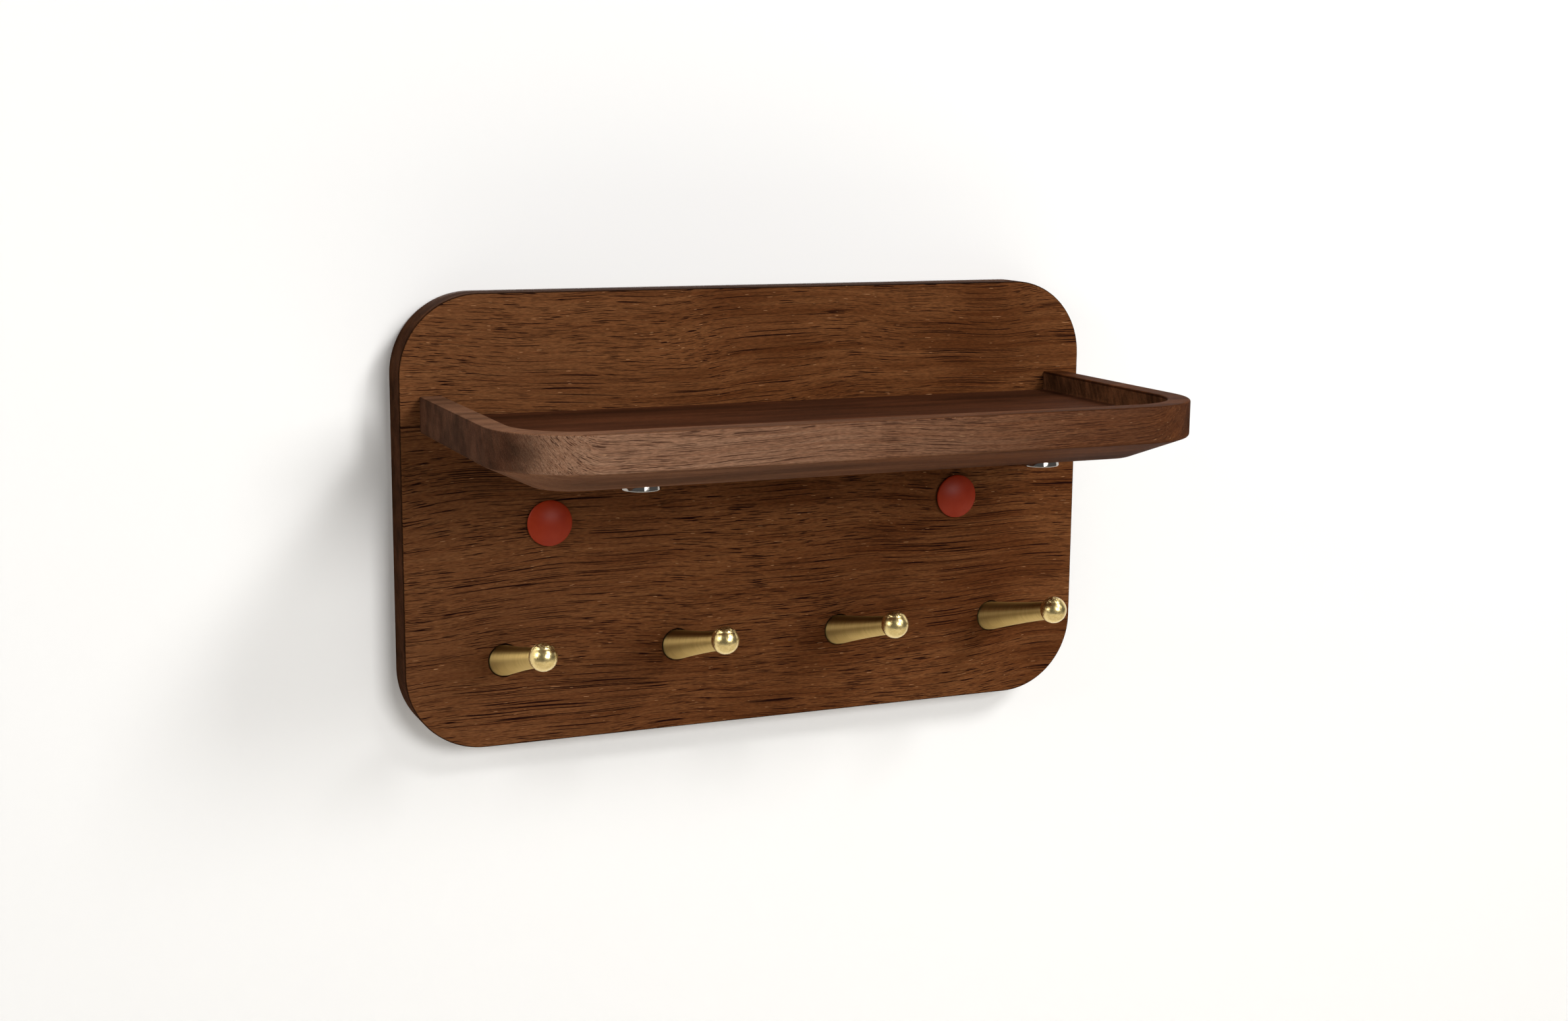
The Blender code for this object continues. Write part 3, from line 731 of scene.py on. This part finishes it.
# Pegs: solid brass turned on a lathe, brushed round and round on the tapered shank and polished
# on the ball. Each foot sits in its slanted socket, drawn tight by a zinc machine screw from
# behind.
PEG_NECK_RADIUS = 0.0038
PEG_BALL_RADIUS = 0.0055
PEG_REACH = 0.0548              # from the board's face to the middle of the ball
PEG_TAPER_CURVE = 1.5
PEG_TAPER_STEPS = 24
PEG_BALL_STEPS = 32
PEG_STEPS = 96
PEG_SCREW_HEAD_HEIGHT = 0.0026
PEG_SCREW_ENGAGEMENT = 0.014
BRUSHED_DARK = "#BA9B53"
BRUSHED_PALE = "#E9CD8C"
# Painted reflection of the dark tray above, darkening the top of each shank
PAINTED_TOP_REFLECTION = "#6C481A"
BRUSH_LENGTH = 0.006
BRUSH_SPACING = 0.0005          # really under 0.1 mm, and drawn coarser so that it shows
POLISHED_DARK = "#D4B873"
POLISHED_PALE = "#F8E0A3"
POLISH_PATCH = 0.0015
POLISH_CRUMPLE = 0.0012


def satin_brass():
    """Brass brushed round its axis: fine rings, soft warm reflections, painted reflection on top.
    """
    material, tree, shader = new_material("satin_brass")
    place = add_node(tree, "TexCoord", {}, "Object")
    scale = (1 / BRUSH_LENGTH, 1 / BRUSH_LENGTH, 1 / BRUSH_SPACING)
    rings = add_node(tree, "VectorMath", {0: place, 1: scale}, operation="MULTIPLY")
    lines = add_node(tree, "TexNoise", {"Vector": rings, "Scale": 1.0, "Detail": 3.0}, "Fac")
    tone = add_node(tree, "Mix", {0: lines, 6: linear(BRUSHED_DARK), 7: linear(BRUSHED_PALE)}, 2,
                    data_type="RGBA")
    # Painted reflection: the top of the shank is darkened towards a dark brown, as if it mirrored
    # the dark tray above
    upward = add_node(tree, "TexCoord", {}, "Normal")
    upward = add_node(tree, "SeparateXYZ", {0: upward}, "Y")
    top_reflection_share = add_node(tree, "MapRange", {"Value": upward, "From Min": 0.35, "From Max": 0.8,
                                          "To Max": 0.85}, interpolation_type="SMOOTHSTEP")
    tone = add_node(tree, "Mix", {0: top_reflection_share, 6: tone, 7: linear(PAINTED_TOP_REFLECTION)}, 2, data_type="RGBA")
    rough = add_node(tree, "MapRange", {"Value": lines, "To Min": 0.45, "To Max": 0.56})
    relief = add_node(tree, "Bump", {"Height": lines, "Strength": 0.25, "Distance": 0.0001})
    tangent = add_node(tree, "Tangent", {}, direction_type="RADIAL", axis="Z")
    connect(shader, {"Base Color": tone, "Metallic": 1.0, "Roughness": rough, "Normal": relief,
                     "Anisotropic": 0.8, "Anisotropic Rotation": 0.25, "Tangent": tangent})
    return material


def polished_brass():
    """Brass buffed on a wheel: a clear reflection, crumpled on top where the wheel didn't reach."""
    material, tree, shader = new_material("polished_brass")
    place = add_node(tree, "TexCoord", {}, "Object")
    patches = add_node(tree, "TexNoise", {"Vector": place, "Scale": 1 / POLISH_PATCH,
                                          "Detail": 3.0}, "Fac")
    tone = add_node(tree, "Mix", {0: patches, 6: linear(POLISHED_DARK), 7: linear(POLISHED_PALE)},
                    2, data_type="RGBA")
    rough = add_node(tree, "MapRange", {"Value": patches, "To Min": 0.2, "To Max": 0.36})
    upward = add_node(tree, "TexCoord", {}, "Normal")
    upward = add_node(tree, "SeparateXYZ", {0: upward}, "Y")
    left_rough = add_node(tree, "MapRange", {"Value": upward, "From Min": 0.45, "From Max": 0.8,
                                             "To Min": 0.1}, interpolation_type="SMOOTHSTEP")
    height = add_node(tree, "Math", {0: patches, 1: left_rough}, operation="MULTIPLY")
    relief = add_node(tree, "Bump", {"Height": height, "Strength": 1.0,
                                     "Distance": POLISH_CRUMPLE})
    connect(shader, {"Base Color": tone, "Metallic": 1.0, "Roughness": rough, "Normal": relief})
    return material


def peg_profile():
    """From the end of the tapped hole, round the foot, to the top of the ball.

    Heights are from the board's face. The height where the ball starts is given too.
    """
    foot, neck, ball = PEG_FOOT_RADIUS, PEG_NECK_RADIUS, PEG_BALL_RADIUS
    tap = PEG_SCREW_RADIUS + FIT
    bottom = FIT - PEG_SOCKET_DEPTH
    tap_end = bottom + PEG_SCREW_ENGAGEMENT + FIT
    foot_end = foot * math.tan(PEG_TILT)
    neck_end = PEG_REACH - math.sqrt(ball ** 2 - neck ** 2)
    shank = [(0.0, tap_end), (tap, tap_end), (tap, bottom), (foot, bottom), (foot, foot_end)]
    for step in range(1, PEG_TAPER_STEPS + 1):
        share = step / PEG_TAPER_STEPS
        radius = neck + (foot - neck) * (1 - share) ** PEG_TAPER_CURVE
        shank.append((radius, foot_end + share * (neck_end - foot_end)))
    ball_start = math.degrees(math.asin(neck / ball)) - 90
    round_end = arc((0.0, PEG_REACH), ball, ball_start, 90, PEG_BALL_STEPS)
    return shank + round_end[1:-1] + [(0.0, PEG_REACH + ball)], neck_end


def peg_screw_profile():
    """Pan-head machine screw, from the top of its head at height 0 to its end in the peg."""
    head, shank, tall = PEG_SCREW_HEAD_RADIUS, PEG_SCREW_RADIUS, PEG_SCREW_HEAD_HEIGHT
    grip = slanted_thickness - PEG_SCREW_COUNTERBORE - PEG_SOCKET_DEPTH + 2 * FIT
    end = tall + grip + PEG_SCREW_ENGAGEMENT
    return [(0.0, 0.0), (head, 0.0), (head, tall), (shank, tall), (shank, end), (0.0, end)]


SATIN_BRASS = satin_brass()
POLISHED_BRASS = polished_brass()
profile, ball_from = peg_profile()
screw_start = PEG_SCREW_COUNTERBORE - slanted_thickness - FIT - PEG_SCREW_HEAD_HEIGHT
for number, name in enumerate(peg_names, start=1):
    spot = along_peg(name)
    peg = show(f"brass_{name}", turned_mesh(name, profile, PEG_STEPS), spot)
    dress(peg, name, "holder", "peg_brass", SATIN_BRASS, POLISHED_BRASS)
    for face in peg.data.polygons:
        face.material_index = int(face.center.z > ball_from)
    screw_spot = spot @ Matrix.Translation((0, 0, screw_start))
    add_screw(f"peg_screw_{number}", peg_screw_profile(), screw_spot)


# Screw caps: moulded red-brown plastic domes that hide the wall screws. Each has a straight stem
# that pushes into the counterbore of its hole, and pulls out again by hand. The rim stands off
# the board, with a dark line under it.
CAP_RADIUS = 0.00925
CAP_EDGE_HEIGHT = 0.0013
CAP_DOME_HEIGHT = 0.0024
CAP_STEM_LENGTH = 0.0045
CAP_RIM_LIFT = 0.0009
CAP_EASE = 0.0004
CAP_DOME_STEPS = 24
CAP_STEPS = 96
CAP_DARK = "#882309"
CAP_PALE = "#993010"
CAP_CLOUD = 0.004
CAP_GRAIN = 0.0004


def moulded_plastic():
    """Filled polypropylene from a matt mould: even red-brown, a soft sheen and a fine grain."""
    material, tree, shader = new_material("moulded_plastic")
    place = add_node(tree, "TexCoord", {}, "Object")
    cloud = add_node(tree, "TexNoise", {"Vector": place, "Scale": 1 / CAP_CLOUD, "Detail": 2.0},
                     "Fac")
    tone = add_node(tree, "Mix", {0: cloud, 6: linear(CAP_DARK), 7: linear(CAP_PALE)}, 2,
                    data_type="RGBA")
    grain = add_node(tree, "TexNoise", {"Vector": place, "Scale": 1 / CAP_GRAIN, "Detail": 1.0},
                     "Fac")
    relief = add_node(tree, "Bump", {"Height": grain, "Strength": 0.05, "Distance": 0.0001})
    connect(shader, {"Base Color": tone, "Roughness": 0.42, "Normal": relief,
                     "Specular IOR Level": 0.2})
    return material


def cap_profile():
    """From the end of the stem, under the lifted rim, to the top of the dome.

    Height 0 is the board's face.
    """
    stem = WALL_COUNTERBORE_RADIUS - FIT
    edge_top = FIT + CAP_EDGE_HEIGHT
    top = edge_top + CAP_DOME_HEIGHT
    dome_radius = (CAP_RADIUS ** 2 + CAP_DOME_HEIGHT ** 2) / (2 * CAP_DOME_HEIGHT)
    dome_start = math.degrees(math.acos(CAP_RADIUS / dome_radius))
    dome_arc = arc((0.0, top - dome_radius), dome_radius, dome_start, 90, CAP_DOME_STEPS)
    rim, *dome = dome_arc[:-1]
    clear = [point for point in dome if CAP_RADIUS - point[0] > CAP_EASE]
    outline = [(0.0, -CAP_STEM_LENGTH), (stem, -CAP_STEM_LENGTH), (stem, FIT),
               (CAP_RADIUS, CAP_RIM_LIFT), rim, clear[0]]
    return [*eased(outline, CAP_EASE), *clear[1:], (0.0, top)]


CAP_PLASTIC = moulded_plastic()
for name in cap_names:
    cap = show(f"domed_{name}", turned_mesh(name, cap_profile(), CAP_STEPS),
               out_of(name, BOARD_FACE_Y))
    dress(cap, name, name.replace("screw_", ""), "cap_plastic", CAP_PLASTIC)


# Stage: a plain white painted wall that the board hangs on and a pale floor below it.
# Both are seen from the room's side only, so that the board's back shows in other views.
WALL_GAP = 0.0005
STAGE_REACH = 4.0
FLOOR_Z = -0.6
FLOOR_REACH = 1.3
NEAREST = 0.006                 # light that starts this near to the wall passes through it
WALL_WHITE = "#FEFDFB"
FLOOR_PALE = "#DAD6CF"


def one_way_paint(name, colour):
    """Matt paint seen from the room; from behind, the board's back shows and is lit through it."""
    material, tree, shader = new_material(name)
    connect(shader, {"Base Color": linear(colour), "Roughness": 0.9, "Specular IOR Level": 0.0})
    behind = add_node(tree, "NewGeometry", {}, "Backfacing")
    length = add_node(tree, "LightPath", {}, "Ray Length")
    close = add_node(tree, "Math", {0: length, 1: NEAREST}, operation="LESS_THAN")
    clear = add_node(tree, "Math", {0: behind, 1: close}, operation="MAXIMUM")
    nothing = add_node(tree, "BsdfTransparent", {})
    shown = add_node(tree, "MixShader", {0: clear, 1: shader.outputs[0], 2: nothing})
    connect(tree.nodes["Material Output"], {"Surface": shown})
    return material


def stage_plane(name, corners, finish):
    """A plane with four corners that is part of the stage."""
    mesh = bpy.data.meshes.new(name)
    mesh.from_pydata(corners, [], [(0, 1, 2, 3)])
    mesh.materials.append(finish)
    show(name, mesh)


left, right, wall_y = -STAGE_REACH, STAGE_REACH, board_high.y + WALL_GAP
wall_corners = [(left, wall_y, FLOOR_Z), (right, wall_y, FLOOR_Z),
                (right, wall_y, STAGE_REACH), (left, wall_y, STAGE_REACH)]
floor_corners = [(left, -FLOOR_REACH, FLOOR_Z), (right, -FLOOR_REACH, FLOOR_Z),
                 (right, wall_y, FLOOR_Z), (left, wall_y, FLOOR_Z)]
stage_plane("wall", wall_corners, one_way_paint("white_wall", WALL_WHITE))
stage_plane("floor", floor_corners, one_way_paint("pale_floor", FLOOR_PALE))


# Light: a softbox in front, a little to the right and above, a smaller one high on the right, one
# far to the left and one behind the wall for the board's back, in a dim white room.
ROOM_WHITE = "#FFFFFF"
ROOM_LIGHT = 0.13
SOFTBOXES = (                   # name, metres away, degrees right and up, size, watts
    ("key", 1.7, 13.0, 15.5, (0.8, 0.5), 14.2),
    ("high", 2.2, 34.0, 38.0, (0.5, 0.5), 19.0),
    ("side", 1.5, -74.0, 20.0, (0.6, 0.6), 6.6),
    ("back", 1.6, 160.0, 25.0, (0.9, 0.9), 17.6),
)


def softbox(name, distance, right, up, size, power):
    """A softbox that faces the board's middle; right and up are degrees from its normal."""
    right, up = math.radians(right), math.radians(up)
    toward = Vector((math.sin(right) * math.cos(up), -math.cos(right) * math.cos(up),
                     math.sin(up)))
    lamp = bpy.data.lights.new(name, "AREA")
    lamp.shape = "RECTANGLE"
    lamp.size, lamp.size_y = size
    lamp.energy = power
    holder = bpy.data.objects.new(name, lamp)
    holder.location = toward * distance
    holder.rotation_euler = toward.to_track_quat("Z", "Y").to_euler()
    scene.collection.objects.link(holder)


for settings in SOFTBOXES:
    softbox(*settings)
world = bpy.data.worlds.new("white_room")
world.use_nodes = True
background = world.node_tree.nodes["Background"]
connect(background, {"Color": linear(ROOM_WHITE), "Strength": ROOM_LIGHT})
scene.world = world
